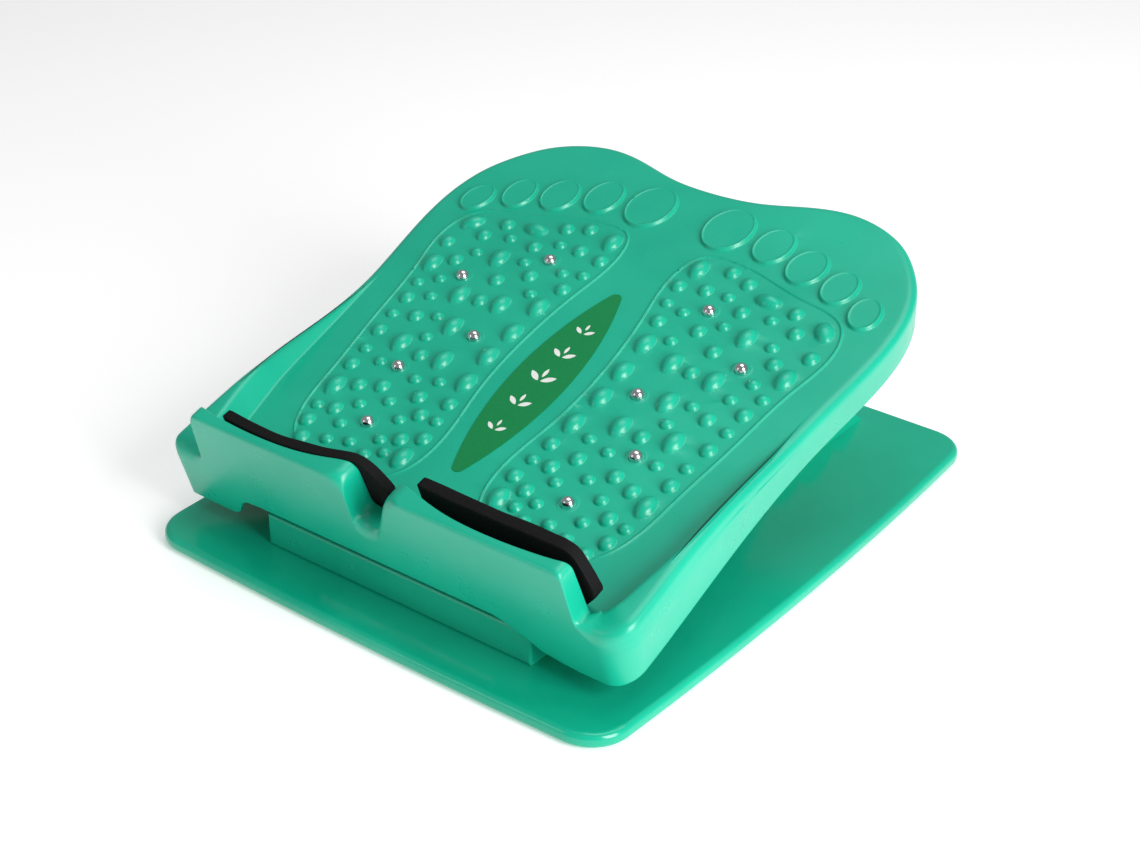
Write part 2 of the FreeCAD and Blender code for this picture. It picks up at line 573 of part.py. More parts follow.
# ---------------------------------------------------------------- soft and small pieces on the board
def foam_pad(side):
    """A foam strip on the inside of a heel wall, with its drooping right end."""
    line, crest, low = PAD_LINES[side], PAD_TOPS[side], dim("pad_bottom")
    thick = dim(f"pad_{side}_thick")
    near, far = [[(x, y + shift, low) for x, y in line] for shift in (0, thick)]
    edges = [spline(near), Part.makeLine(Vector(*near[-1]), Vector(*far[-1])), spline(far),
             Part.makeLine(Vector(*far[0]), Vector(*near[0]))]
    strip = Part.Face(Part.Wire(Part.__sortEdges__(edges))).extrude(Vector(0, 0, crest[0][1] - low + 1))
    top = crest[0][1] + 2
    above = prism([(x, 0, n) for x, n in crest] + [(crest[-1][0], 0, top), (crest[0][0], 0, top)], (0, 60, 0))
    return strip.cut(above)


def massage_balls(side):
    balls = [Part.makeSphere(dim("ball_radius"), Vector(side * x, y, dim("ball_centre"))) for x, y in BALLS]
    return Part.makeCompound(balls)


def label_sticker():
    start, end, half = dim("label_start"), dim("label_end"), dim("label_half")
    middle = (start + end) / 2
    tips = Vector(0, start, 0), Vector(0, end, 0)
    edges = [Part.Arc(tips[0], Vector(half, middle, 0), tips[1]).toShape(),
             Part.Arc(tips[1], Vector(-half, middle, 0), tips[0]).toShape()]
    leaf = Part.Face(Part.Wire(edges)).extrude(Vector(0, 0, dim("label_thick")))
    upright = [e for e in leaf.Edges if e.BoundBox.XLength < 1e-6 and e.BoundBox.YLength < 1e-6]
    return leaf.makeFillet(dim("label_tip"), upright)


# ---------------------------------------------------------------- prop
def prop_frame():
    """Two arms with round hubs, tied by two cross bars and a ribbed web, in the prop frame."""
    length, inner, width = dim("prop_length"), dim("arm_inner"), dim("arm_width")
    half = dim("arm_thick") / 2
    arm = block(inner, inner + width, 0, length, -half, half)
    for y, radius in ((0, dim("hub_radius")), (length, dim("roller_radius"))):
        arm = arm.fuse(Part.makeCylinder(radius, width, Vector(inner, y, 0), Vector(1, 0, 0)))
    arm = arm.removeSplitter()
    bars = [block(-inner - 1, inner + 1, y, y + 10, -5, 5) for y in (34, length - 26)]
    web = block(-inner - 1, inner + 1, 40, length - 20, -1.5, 1.5)
    ribs = [block(x - 1.25, x + 1.25, 40, length - 20, -4.5, 4.5) for x in (-32, 0, 32)]
    frame = arm.multiFuse([mirrored(arm), web] + bars + ribs)
    play = dim("press_play")
    pivot = Part.makeCylinder(dim("rod_radius") + play, 200, Vector(-100, 0, 0), Vector(1, 0, 0))
    foot = Part.makeCylinder(dim("bar_radius") + play, 200, Vector(-100, length, 0), Vector(1, 0, 0))
    return frame.cut([pivot, foot])


def prop_parts():
    shaped("prop_frame", prop_frame(), PROP)
    reach = dim("arm_inner") + dim("arm_width") + 1
    keep(x_cylinder("prop_pivot_rod", "dims.rod_radius", "2 * (dims.arm_inner + dims.arm_width + 1)",
                    PROP, -reach, 0, 0), "prop_pivot_rod")
    length, bar = dim("prop_length"), dim("bar_length")
    keep(x_cylinder("prop_foot_bar", "dims.bar_radius", "dims.bar_length", PROP, -bar / 2, length, 0),
         "prop_foot_bar")
    width = dim("roller_width")
    start = dim("arm_inner") + dim("arm_width") + 0.6
    for side, x in (("left", -start - width), ("right", start)):
        outer = x_cylinder(f"roller_{side}_outer", "dims.roller_radius", "dims.roller_width", PROP, x, length, 0)
        bore = x_cylinder(f"roller_{side}_bore", "dims.bar_radius + dims.rod_play", "dims.roller_width",
                          PROP, x, length, 0)
        keep(cut(f"foot_roller_{side}", outer, bore), f"foot_roller_{side}")


def hinge_parts():
    length = dim("hinge_rod_length")
    frame = at(0, HINGE.y, HINGE.z)
    rod = x_cylinder("hinge_rod", "dims.rod_radius", "dims.hinge_rod_length", frame, -length / 2, 0, 0)
    keep(rod, "hinge_rod")
    outer = x_cylinder("clip_outer", "dims.clip_radius", "dims.clip_thick", at(0, 0, 0), 0, 0, 0)
    bore = x_cylinder("clip_bore", "dims.rod_radius + dims.press_play", "dims.clip_thick", at(0, 0, 0), 0, 0, 0)
    clip = cut("clip", outer, bore)
    start = dim("rail_inner") + dim("rail_thick") + 0.3
    group("hinge_rod_clips", clip, [at(x, HINGE.y, HINGE.z) for x in (start, -start - dim("clip_thick"))])


# ---------------------------------------------------------------- build and export
def build():
    shaped("base_plate", base_plate())
    rack_rail("rack_rail_left", -dim("rail_inner") - dim("rail_thick"))
    rack_rail("rack_rail_right", dim("rail_inner"))
    cross_wall()
    group("frame_screws", screw("frame_screw", "dims.frame_screw_length"), screw_places())
    foot = primitive("Part::Cylinder", "rubber_foot", Placement(), Radius="dims.foot_radius",
                     Height="dims.foot_height")
    group("rubber_feet", foot, [at(x, y, 0) for x, y in FEET])
    hinge_parts()
    shaped("foot_board", foot_board(), BOARD)
    shaped("foam_pad_left", foam_pad("left"), BOARD)
    shaped("foam_pad_right", foam_pad("right"), BOARD)
    shaped("massage_balls_left", massage_balls(-1), BOARD)
    shaped("massage_balls_right", massage_balls(1), BOARD)
    shaped("label_sticker", label_sticker(), BOARD)
    bearing_caps()
    cap_screw = screw("cap_screw", "dims.cap_screw_length")
    group("cap_screws", cap_screw, [BOARD.multiply(place) for place in cap_screw_places()])
    prop_parts()


def export():
    doc.recompute()
    for item in doc.Objects:
        if "Invalid" in item.State or "Error" in item.State:
            raise RuntimeError(f"{item.Label} failed: {item.State}")
    os.makedirs("parts", exist_ok=True)
    for item in subparts:
        shape = item.Shape
        if shape.isNull() or not shape.isValid():
            raise RuntimeError(f"{item.Label} has no valid shape")
        if not shape.Solids:
            raise RuntimeError(f"{item.Label} holds no solid")
        shape.exportStep(f"parts/{item.Label}.step")
        print(f"{item.Label}: {len(shape.Solids)} solid(s), {shape.Volume / 1000:.1f} cm3")


build()
export()
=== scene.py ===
import bpy
import bmesh
import json
import math
import numpy as np
from mathutils import Matrix, Vector
from mathutils.geometry import delaunay_2d_cdt


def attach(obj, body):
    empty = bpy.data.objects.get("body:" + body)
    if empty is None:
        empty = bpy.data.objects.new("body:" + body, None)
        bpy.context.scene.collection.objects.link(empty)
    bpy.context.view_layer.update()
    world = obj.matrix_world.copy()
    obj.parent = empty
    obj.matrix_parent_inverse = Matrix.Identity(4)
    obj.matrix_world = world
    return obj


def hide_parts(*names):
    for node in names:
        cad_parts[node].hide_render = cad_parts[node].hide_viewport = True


# The slant board's looks. Lengths here are millimetres in the board frame (x across, v up the
# slope, n out of the tread) until MM turns them into metres; the CAD frame gives every place.
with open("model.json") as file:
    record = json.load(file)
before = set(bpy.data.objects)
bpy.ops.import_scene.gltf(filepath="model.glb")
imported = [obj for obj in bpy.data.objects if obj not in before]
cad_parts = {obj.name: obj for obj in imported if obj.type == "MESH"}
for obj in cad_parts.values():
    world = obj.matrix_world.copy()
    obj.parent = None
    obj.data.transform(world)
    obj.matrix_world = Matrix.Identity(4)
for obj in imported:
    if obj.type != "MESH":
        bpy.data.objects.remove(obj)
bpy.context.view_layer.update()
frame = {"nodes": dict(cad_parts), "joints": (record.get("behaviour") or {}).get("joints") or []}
MM = 0.001
TILT = math.radians(19)
hinge = next(joint for joint in frame["joints"] if joint["name"] == "board_tilt")
HINGE_V, HINGE_N = 30, -13
PROP_V, PROP_N = 215, -12
BOARD = (Matrix.Translation(hinge["pos_m"]) @ Matrix.Rotation(TILT, 4, "X") @ Matrix.Scale(MM, 4)
         @ Matrix.Translation((0, -HINGE_V, -HINGE_N)))

# ---------------------------------------------------------------- the board's own dimensions
HALF, FRONT = 157, 14.4
CORNER, LEFT_CORNER = 16, 8
SKIRT, SKIRT_WALL, PANEL = 24, 3, 3.5
ROD_SEAT = 4.05
# How far the skirt and the walls lean inwards at the skirt's foot and at the heel stops' top.
SIDE_DRAFT, HEEL_DRAFT, SIDE_LEAN, HEEL_LEAN = 3, -1.4, 0.4, 2.6
EDGE_ROUND = 6
RIM_HIGH, RIM_FADE = 14, (60, 195)
# Heights of the heel stops, of the saddles at their outer ends and of the gap between them.
HEEL_HIGH, SADDLE_HIGH, GAP_HIGH = 45, 12, 15
# Where the inner face of a heel stop ends, and how steep a stop's and a rim's inner slopes are.
STOP_END = 127
STOP_SLOPE, RIM_SLOPE = 0.6, 7.0
STOP_ROUND, SADDLE_ROUND = 2.8, 8.4
STRIP_ROWS = 50
# Lower edge of the heel skirt, raised between its two ends: (x, n).
ARCH = [(-116, -24), (-112, -21.5), (-107, -13), (-102, -10), (-90, -9.3), (74, -9.3), (80, -10.8),
        (89, -14.2), (95, -16.6), (102, -20.8), (114, -23), (126, -24)]
OUTLINE = [(157, 36), (155.5, 90), (155, 150), (158.5, 205), (163, 250), (161.5, 281), (155, 303),
           (143, 322), (128, 337), (109, 347), (85, 351.5), (60, 348), (33, 340.5), (0, 337.5)]
# Along the heel stops: their height against x. The gap between them has a steep left side.
HEEL_CREST = [(LEFT_CORNER - HALF, SADDLE_HIGH), (-129.5, SADDLE_HIGH), (-126.5, HEEL_HIGH),
              (-15, HEEL_HIGH), (-13.5, GAP_HIGH), (1.5, GAP_HIGH), (14.5, HEEL_HIGH), (126.5, HEEL_HIGH),
              (129.5, SADDLE_HIGH), (HALF - CORNER, SADDLE_HIGH)]
HEEL_SOFT = [0, 4, 5, 7, 7.4, 7.4, 8, 5, 4, 0]
HEEL_INNER = [(18, 30.8), (25, 29.4), (32, 27.6), (46, 24.6), (61, 22.9), (75, 22.4), (90, 22.6),
              (106, 23.6), (121, 25.4), (127, 26.6)]
# Foot of the rim's inner slope round the corner and up the side, and how far that slope reaches.
RIM_FOOT = [(129.5, 31.5), (131, 32.4), (132.5, 34), (134.3, 36.8), (135.5, 41), (136.5, 48), (138.2, 58),
            (141, 74), (144, 92), (146, 120), (147.5, 150), (149.5, 180), (151.3, 200)]
TOES = [(28, 308, 31, 38, 0), (61, 305, 24, 31, 0), (88.5, 296, 24, 30, 0), (114.5, 288, 21, 28, 0),
        (138, 274.5, 19, 26, 12)]
TOE_HIGH = 1.7
BALLS = [(56.7, 242.5), (98.9, 209.6), (58, 169), (83.7, 129.8), (70.4, 86.5)]
BALL_SEAT = 4.0
FOOT_LINE = [(28, 282), (45, 285), (72, 280), (100, 272), (130, 262), (138, 243), (133, 205), (127, 160),
             (120, 110), (115, 80), (103, 60), (80, 52.5), (50, 52.5), (30, 62), (22, 85), (27, 130),
             (29, 180), (24, 225), (20, 262)]
LINE_HIGH, LINE_HALF = 0.75, 0.95
# Bumps by size: half width, half length, height and how pointed the ends are (2 is an ellipse).
BUMP_SIZES = {"small": (4.0, 4.0, 2.8, 2.0), "middle": (4.5, 5.4, 3.3, 2.0), "large": (5.4, 8.4, 4.0, 1.7)}
BUMPS = {
    "small": [(60, 257), (93, 250), (30, 239), (43, 236), (71, 235), (105, 231), (111, 202), (122, 194),
              (50, 213), (106, 187), (90, 174), (118, 165), (85, 157), (113, 134), (53, 130), (68, 126),
              (97, 129), (34, 104), (70, 105), (55, 96), (85, 96), (108, 85), (55, 79), (85, 79),
              (46, 72), (70, 70), (56, 66), (84, 66)],
    "middle": [(51, 276), (65, 271), (103, 260), (28, 254), (45, 257), (74, 249), (111, 246), (129, 232),
               (34, 224), (60, 226), (113, 220), (77, 215), (75, 196), (119, 180), (103, 169), (116, 150),
               (78, 143), (112, 120), (36, 118), (56, 115), (82, 113), (96, 108), (46, 104), (32, 90),
               (44, 84), (96, 87), (105, 73), (99, 61)],
    "large": [(31, 271), (88, 232), (125, 212), (38, 205), (61, 198), (90, 195), (39, 181), (76, 171),
              (40, 159), (63, 145), (96, 147), (38, 136), (109, 102), (34, 73)],
}
TURNED_BUMPS = [(83, 263, 90), (125, 253, 35)]


# ---------------------------------------------------------------- small mathematics
def smooth_step(value):
    """0 up to 0, 1 from 1 on and an S-shaped rise between."""
    value = np.clip(value, 0.0, 1.0)
    return value * value * (3 - 2 * value)


def spline_slopes(points, knots, closed, ends):
    """Slopes that make a cubic spline through the points smooth to the second derivative."""
    count = len(points)
    gaps = np.diff(knots)
    rows, right = np.zeros((count, count)), np.zeros(points.shape)
    for i in range(count):
        if not closed and i in (0, count - 1):
            rows[i, i] = 1
            right[i] = ends[0] if i == 0 else ends[1]
            continue
        before, after = gaps[i - 1], gaps[i % len(gaps)]
        last, following = points[i - 1], points[(i + 1) % count]
        rows[i, i - 1] += 1 / before
        rows[i, i] += 2 / before + 2 / after
        rows[i, (i + 1) % count] += 1 / after
        right[i] = 3 * ((points[i] - last) / before ** 2 + (following - points[i]) / after ** 2)
    return np.linalg.solve(rows, right)


def smooth_curve(points, step, closed=False, ends=None):
    """Points every step along a smooth curve through the given ones."""
    points = np.array(points, float)
    loop = np.vstack([points, points[:1]]) if closed else points
    gaps = np.linalg.norm(np.diff(loop, axis=0), axis=1)
    knots = np.concatenate([[0], np.cumsum(gaps)])
    if ends is None:
        ends = ((points[1] - points[0]) / gaps[0], (points[-1] - points[-2]) / gaps[-1])
    slopes = spline_slopes(points, knots, closed, np.array(ends, float))
    loop_slopes = np.vstack([slopes, slopes[:1]]) if closed else slopes
    out = []
    for i, gap in enumerate(gaps):
        count = max(2, int(round(gap / step)))
        for k in range(count):
            f = k / count
            out.append(loop[i] * (2 * f ** 3 - 3 * f ** 2 + 1)
                       + loop_slopes[i] * gap * (f ** 3 - 2 * f ** 2 + f)
                       + loop[i + 1] * (3 * f ** 2 - 2 * f ** 3)
                       + loop_slopes[i + 1] * gap * (f ** 3 - f ** 2))
    if not closed:
        out.append(loop[-1])
    return np.array(out)


def rounded_path(corners, lengths, step):
    """A polyline with each corner rounded over a length, sampled finely."""
    corners = [np.array(c, float) for c in corners]
    stops = [corners[0]]
    for i in range(1, len(corners) - 1):
        before, here, after = corners[i - 1:i + 2]
        start = here + (before - here) * lengths[i] / np.linalg.norm(before - here)
        end = here + (after - here) * lengths[i] / np.linalg.norm(after - here)
        stops += line_points(stops[-1], start, step)
        stops += [bend(start, here, end, f) for f in np.linspace(0.1, 1, 10)]
    stops += line_points(stops[-1], corners[-1], step)
    return np.array(stops)


def bend(start, here, end, f):
    """A point on the parabola that leaves start and reaches end with tangents through here."""
    return start * (1 - f) ** 2 + here * 2 * f * (1 - f) + end * f * f


def line_points(start, end, step):
    """Points on a straight line, without its start."""
    count = max(1, int(math.ceil(np.linalg.norm(end - start) / step)))
    return [start + (end - start) * k / count for k in range(1, count + 1)]


def corner(before, here, after, length, count):
    """Points that round a profile's corner; length is held back where the runs are short."""
    run_in, run_out = np.linalg.norm(before - here), np.linalg.norm(after - here)
    reach = min(length, 0.48 * run_in, 0.48 * run_out)
    start = here + (before - here) * reach / max(run_in, 1e-6)
    end = here + (after - here) * reach / max(run_out, 1e-6)
    return [bend(start, here, end, f) for f in np.linspace(0, 1, count)]


# ---------------------------------------------------------------- mesh helpers
def mesh_object(name, points, faces, place=BOARD, smooth=True):
    """A mesh given in millimetres of the board frame, put in its place at rest."""
    mesh = bpy.data.meshes.new(name)
    mesh.from_pydata([tuple(p) for p in points], [], [tuple(f) for f in faces])
    mesh.transform(place)
    mesh.validate()
    thing = bpy.data.objects.new(name, mesh)
    bpy.context.scene.collection.objects.link(thing)
    for face in mesh.polygons:
        face.use_smooth = smooth
    return thing


def weld(thing, distance):
    """Merge points closer than the distance and turn all faces outwards."""
    work = bmesh.new()
    work.from_mesh(thing.data)
    bmesh.ops.remove_doubles(work, verts=work.verts, dist=distance)
    bmesh.ops.dissolve_degenerate(work, edges=work.edges, dist=distance / 4)
    bmesh.ops.recalc_face_normals(work, faces=work.faces)
    work.to_mesh(thing.data)
    work.free()


def finish_piece(thing, body, material, replaced=()):
    """Dress a piece, hang it under its body's empty and hide the CAD nodes that it stands for."""
    thing.data.materials.clear()
    thing.data.materials.append(material)
    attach(thing, body)
    if replaced:
        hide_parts(*replaced)
    return thing


# ---------------------------------------------------------------- foot board: edge strip
def station(point, foot, high, slope, round_out, turn, low=-SKIRT):
    """One cross-section of the board's edge, from its outer point to the inner foot on the tread.

    turn is 0 on the heel edge and 1 on the sides, whose faces lean differently.
    """
    point, foot = np.array(point, float), np.array(foot, float)
    reach = np.linalg.norm(foot - point)
    return {"point": point, "inward": (foot - point) / reach, "high": high, "wide": reach - slope,
            "slope": slope, "round": round_out, "low": low,
            "draft": HEEL_DRAFT + (SIDE_DRAFT - HEEL_DRAFT) * turn,
            "lean": HEEL_LEAN + (SIDE_LEAN - HEEL_LEAN) * turn}


def corner_radius(x):
    """The radius in plan of the heel corner on this side."""
    return CORNER if x > 0 else LEFT_CORNER


def heel_stations():
    """Sections along the straight heel edge, from the left corner to the right one."""
    crest = rounded_path(HEEL_CREST, HEEL_SOFT, 1.6)
    inner = smooth_curve(HEEL_INNER, 1.0)
    out = []
    for x, high in crest:
        side = abs(x)
        past = max(0.0, side - STOP_END)
        stretch = (RIM_FOOT[2][0] - STOP_END) / (HALF - corner_radius(x) - STOP_END)
        foot_x = min(side, STOP_END) + past * stretch
        foot_v = np.interp(foot_x, [0, 14] + list(inner[:, 0]) + [129.8, RIM_FOOT[2][0]],
                           [31.5, 31.2] + list(inner[:, 1]) + [30.2, RIM_FOOT[2][1]])
        slope = STOP_SLOPE + (RIM_SLOPE - STOP_SLOPE) * smooth_step(past / 7)
        near_gap = 1 - smooth_step((side - 15) / 10)
        low_part = (1 - smooth_step((high - 9) / 34)) * smooth_step((side - 129) / 11)
        round_out = STOP_ROUND + (SADDLE_ROUND - STOP_ROUND) * max(near_gap, low_part)
        foot = (math.copysign(foot_x, x) if x else 0, foot_v + STOP_SLOPE + 1.2 * smooth_step(past / 3))
        out.append(station((x, FRONT), foot, high, slope, round_out, 0, np.interp(x, *zip(*ARCH))))
    return out


def corner_stations(radius):
    """Sections round a right heel corner, where the saddle rises into the side rim."""
    centre = np.array((HALF - radius, FRONT + radius))
    feet = smooth_curve(RIM_FOOT[2:5], 0.5)
    out = []
    for share in np.linspace(0, 1, 12)[1:]:
        turn = share * math.pi / 2
        out_way = np.array((math.sin(turn), -math.cos(turn)))
        foot = feet[int(round(share * (len(feet) - 1)))]
        rise = smooth_step(share / 0.8)
        out.append(station(centre + out_way * radius, foot, SADDLE_HIGH + (RIM_HIGH - SADDLE_HIGH) * rise,
                           RIM_SLOPE, 8.2 - 1.4 * rise, smooth_step(share)))
    return out


def side_stations():
    """Sections from the right heel corner round the toe end to the left heel corner."""
    loop = [(HALF, FRONT + CORNER)] + OUTLINE
    loop += [(-x, v) for x, v in loop[-2:0:-1]] + [(-HALF, FRONT + LEFT_CORNER)]
    curve = smooth_curve(loop, 3.0, ends=((0, 1), (0, -1)))
    feet = smooth_curve(RIM_FOOT[4:], 1.0)
    out = []
    for i, point in enumerate(curve):
        if point[1] <= FRONT + corner_radius(point[0]) + 0.5:
            continue
        before, after = curve[max(i - 1, 0)], curve[min(i + 1, len(curve) - 1)]
        along = (after - before) / np.linalg.norm(after - before)
        fade = 1 - smooth_step((point[1] - RIM_FADE[0]) / (RIM_FADE[1] - RIM_FADE[0]))
        if point[1] > RIM_FADE[1]:
            fade = 0.0
        plain = point + np.array((-along[1], along[0])) * 7.8
        share = smooth_step((point[1] - 150) / 50)
        start = np.interp(point[1], [FRONT + corner_radius(point[0]), 60, 200],
                          [RIM_FOOT[4][1], 66, 200])
        rim = np.array((math.copysign(np.interp(start, feet[:, 1], feet[:, 0]), point[0]), start))
        out.append(station(point, rim + (plain - rim) * share, RIM_HIGH * fade,
                           STOP_SLOPE + (RIM_SLOPE - STOP_SLOPE) * fade, EDGE_ROUND + 0.8 * fade, 1))
    return out


def section(shape):
    """The profile of a section as (inward distance, height), from the underside to the tread."""
    high, low, wide, slope = shape["high"], shape["low"], shape["wide"], shape["slope"]

    def lean(n):
        return shape["draft"] * -n / SKIRT if n < 0 else shape["lean"] * n / HEEL_HIGH
    foot_out, foot_in = lean(low), lean(low) + SKIRT_WALL
    points = [np.array(p) for p in ((SKIRT_WALL, -PANEL), (SKIRT_WALL + lean(-8), -8), (foot_in, low + 0.6),
                                    (foot_in - 0.6, low), (foot_out + 1.0, low))]
    points += corner(np.array((foot_out + 1.0, low)), np.array((foot_out, low)),
                     np.array((lean(low + 1), low + 1)), 1.0, 5)
    crown = np.array((lean(high), high))
    belt = np.array((0.0, 0.0))
    start = high - shape["round"]
    for n in np.linspace(low + 2, min(start, -1) - 0.2, 5):
        points.append(np.array((lean(n), n)))
    if start > 1:
        points += [belt] + [np.array((lean(n), n)) for n in np.linspace(0, start, 6)[1:-1]]
    below = np.array((lean(start - 14), start - 14))
    inner_top = np.array((wide, high))
    inner_foot = np.array((wide + slope, 0.0))
    points += corner(below, crown, crown + np.array((shape["round"] * 2.2, 0)), shape["round"], 11)
    shoulder = 1.3 if slope < 1 else 3.0
    points += corner(np.array((wide * 0.4, high)), inner_top, inner_foot, shoulder, 8)
    points += corner(inner_top, inner_foot, inner_foot + np.array((4.0, 0)), 1.5, 6)
    points.append(inner_foot + np.array((1.9, 0)))
    return points


def edge_strip():
    """The rows of points of all sections, in order round the board."""
    right = corner_stations(CORNER)
    left = []
    for shape in corner_stations(LEFT_CORNER)[::-1]:
        twin = dict(shape)
        twin["point"], twin["inward"] = shape["point"] * (-1, 1), shape["inward"] * (-1, 1)
        left.append(twin)
    rows = []
    for shape in heel_stations() + right + side_stations() + left:
        profile = even_rows(section(shape), STRIP_ROWS, shape["high"] > 1 + shape["round"])
        rows.append([np.append(shape["point"] + shape["inward"] * d, n) for d, n in profile])
    return rows


def even_rows(points, count, tall):
    """Give every section the same number of points, so that the strip's faces line up."""
    spare = count - len(points)
    if spare > 0:
        at = 15 if tall else 14
        start, end = points[at - 1], points[at]
        filler = [start + (end - start) * (k + 1) / (spare + 1) for k in range(spare)]
        points = points[:at] + filler + points[at:]
    return points


# ---------------------------------------------------------------- foot board: relief of the tread
def bump_list():
    """Every bump as (x, v, half width, half length, height, point, turn), on both feet."""
    right = [(x, v) + BUMP_SIZES[size] + (0,) for size, spots in BUMPS.items() for x, v in spots]
    right += [(x, v) + BUMP_SIZES["large"] + (turn,) for x, v, turn in TURNED_BUMPS]
    left = [(-x, v, a, b, high, power, -turn) for x, v, a, b, high, power, turn in right]
    return right + left


def dome(rho):
    """Height of a unit bump against the distance from its middle: a dome with a short foot."""
    sunk, join, foot = 0.28, 0.95, 1.07
    cap = (np.sqrt(np.clip(1 - rho ** 2 * (1 - sunk ** 2), 0, 1)) - sunk) / (1 - sunk)
    inner = math.sqrt(1 - join ** 2 * (1 - sunk ** 2))
    value, fall = (inner - sunk) / (1 - sunk), -join * (1 - sunk ** 2) / inner / (1 - sunk)
    f = np.clip((rho - join) / (foot - join), 0, 1)
    skirt = value * (2 * f ** 3 - 3 * f ** 2 + 1) + fall * (foot - join) * (f ** 3 - 2 * f ** 2 + f)
    return np.where(rho < join, cap, np.maximum(skirt, 0))


def relief(points, bumps, lines):
    """Height of the tread at each (x, v)."""
    x, v = points[:, 0], points[:, 1]
    height = np.zeros(len(points))
    for bx, bv, half_w, half_l, high, power, turn in bumps:
        near = (np.abs(x - bx) < 12) & (np.abs(v - bv) < 12)
        angle = math.radians(turn)
        dx, dv = x[near] - bx, v[near] - bv
        across = np.abs(dx * math.cos(angle) + dv * math.sin(angle)) / half_w
        along = np.abs(-dx * math.sin(angle) + dv * math.cos(angle)) / half_l
        rho = np.sqrt(across ** 2 + along ** power)
        height[near] = np.maximum(height[near], high * dome(rho))
    for side in (-1, 1):
        for tx, tv, wide, deep, turn in TOES:
            height = np.maximum(height, toe_height(x - side * tx, v - tv, wide, deep, side * turn))
        for bx, bv in BALLS:
            gap = np.hypot(x - side * bx, v - bv)
            height -= 0.35 * np.exp(-((gap - BALL_SEAT) / 0.5) ** 2)
            height += 0.22 * np.exp(-((gap - 5.3) / 0.6) ** 2)
    for line in lines:
        height = np.maximum(height, line_height(points, line))
    return height


def toe_edge(dx, dv, wide, deep, turn):
    """Distance inside a toe pad's edge, nearly true close to the edge."""
    angle = math.radians(turn)
    across = dx * math.cos(angle) + dv * math.sin(angle)
    along = -dx * math.sin(angle) + dv * math.cos(angle)
    a, b = wide / 2, deep / 2
    rho = np.sqrt((across / a) ** 2 + (along / b) ** 2)
    grade = np.sqrt((across / a ** 2) ** 2 + (along / b ** 2) ** 2) / np.maximum(rho, 1e-6)
    return (1 - rho) / np.maximum(grade, 1e-6)


def toe_height(dx, dv, wide, deep, turn):
    """Height of a toe pad: a flat disc with a thin raised line along its edge."""
    inside = toe_edge(dx, dv, wide, deep, turn)
    disc = smooth_step((inside + 0.6) / 1.2)
    lip = 0.35 * np.exp(-((inside - 0.9) / 0.5) ** 2)
    return TOE_HIGH * disc + lip


def line_height(points, line):
    """A thin round bead along a closed line, read at points that lie near it."""
    height = np.zeros(len(points))
    box = (points[:, 0] > line[:, 0].min() - 2) & (points[:, 0] < line[:, 0].max() + 2)
    chosen = np.nonzero(box)[0]
    start, run = line, np.roll(line, -1, axis=0) - line
    length = (run ** 2).sum(axis=1)
    for batch in np.array_split(chosen, max(1, len(chosen) // 2000)):
        offset = points[batch][:, None, :] - start[None]
        along = np.clip((offset * run[None]).sum(axis=2) / length, 0, 1)
        gap = np.linalg.norm(offset - along[..., None] * run[None], axis=2).min(axis=1)
        height[batch] = LINE_HIGH * (0.5 + 0.5 * np.cos(np.pi * np.clip(gap / LINE_HALF, 0, 1)))
    return height


def ring(x, v, half_w, half_l, power, turn, rho, count):
    """Points round a bump at one share of its radius."""
    angle = math.radians(turn)
    out = []
    for k in range(count):
        way = 2 * math.pi * (k + 0.5) / count
        across = half_w * rho * math.cos(way)
        along = half_l * abs(rho * math.sin(way)) ** (2 / power) * math.copysign(1, math.sin(way))
        out.append((x + across * math.cos(angle) - along * math.sin(angle),
                    v + across * math.sin(angle) + along * math.cos(angle)))
    return out


def tread_points(bumps, lines):
    """Where the tread's mesh needs points: on its relief, and thinly in between."""
    spots = []
    for x, v, half_w, half_l, high, power, turn in bumps:
        spots.append((x, v))
        for rho in (0.22, 0.42, 0.6, 0.75, 0.86, 0.93, 0.97, 1.0, 1.035, 1.08, 1.15):
            spots += ring(x, v, half_w, half_l, power, turn, rho, 20 if rho > 0.5 else 10)
    for side in (-1, 1):
        for x, v, wide, deep, turn in TOES:
            for inset in (-1.1, -0.7, -0.45, -0.15, 0.1, 0.4, 0.7, 1.0, 1.4, 1.9, 2.4):
                spots += ring(side * x, v, wide / 2 - inset, deep / 2 - inset, 2, side * turn, 1.0, 56)
        for x, v in BALLS:
            for radius in (3.3, 3.8, 4.2, 4.7, 5.3, 5.9, 6.6, 7.3):
                spots += ring(side * x, v, radius, radius, 2, 0, 1.0, 20)
    for line in lines:
        along = np.roll(line, -1, axis=0) - np.roll(line, 1, axis=0)
        along /= np.linalg.norm(along, axis=1)[:, None]
        normal = np.stack([-along[:, 1], along[:, 0]], axis=1)
        for shift in (-1.4, -1.0, -0.6, -0.25, 0, 0.25, 0.6, 1.0, 1.4):
            spots += [tuple(p) for p in line + normal * shift]
    return spots


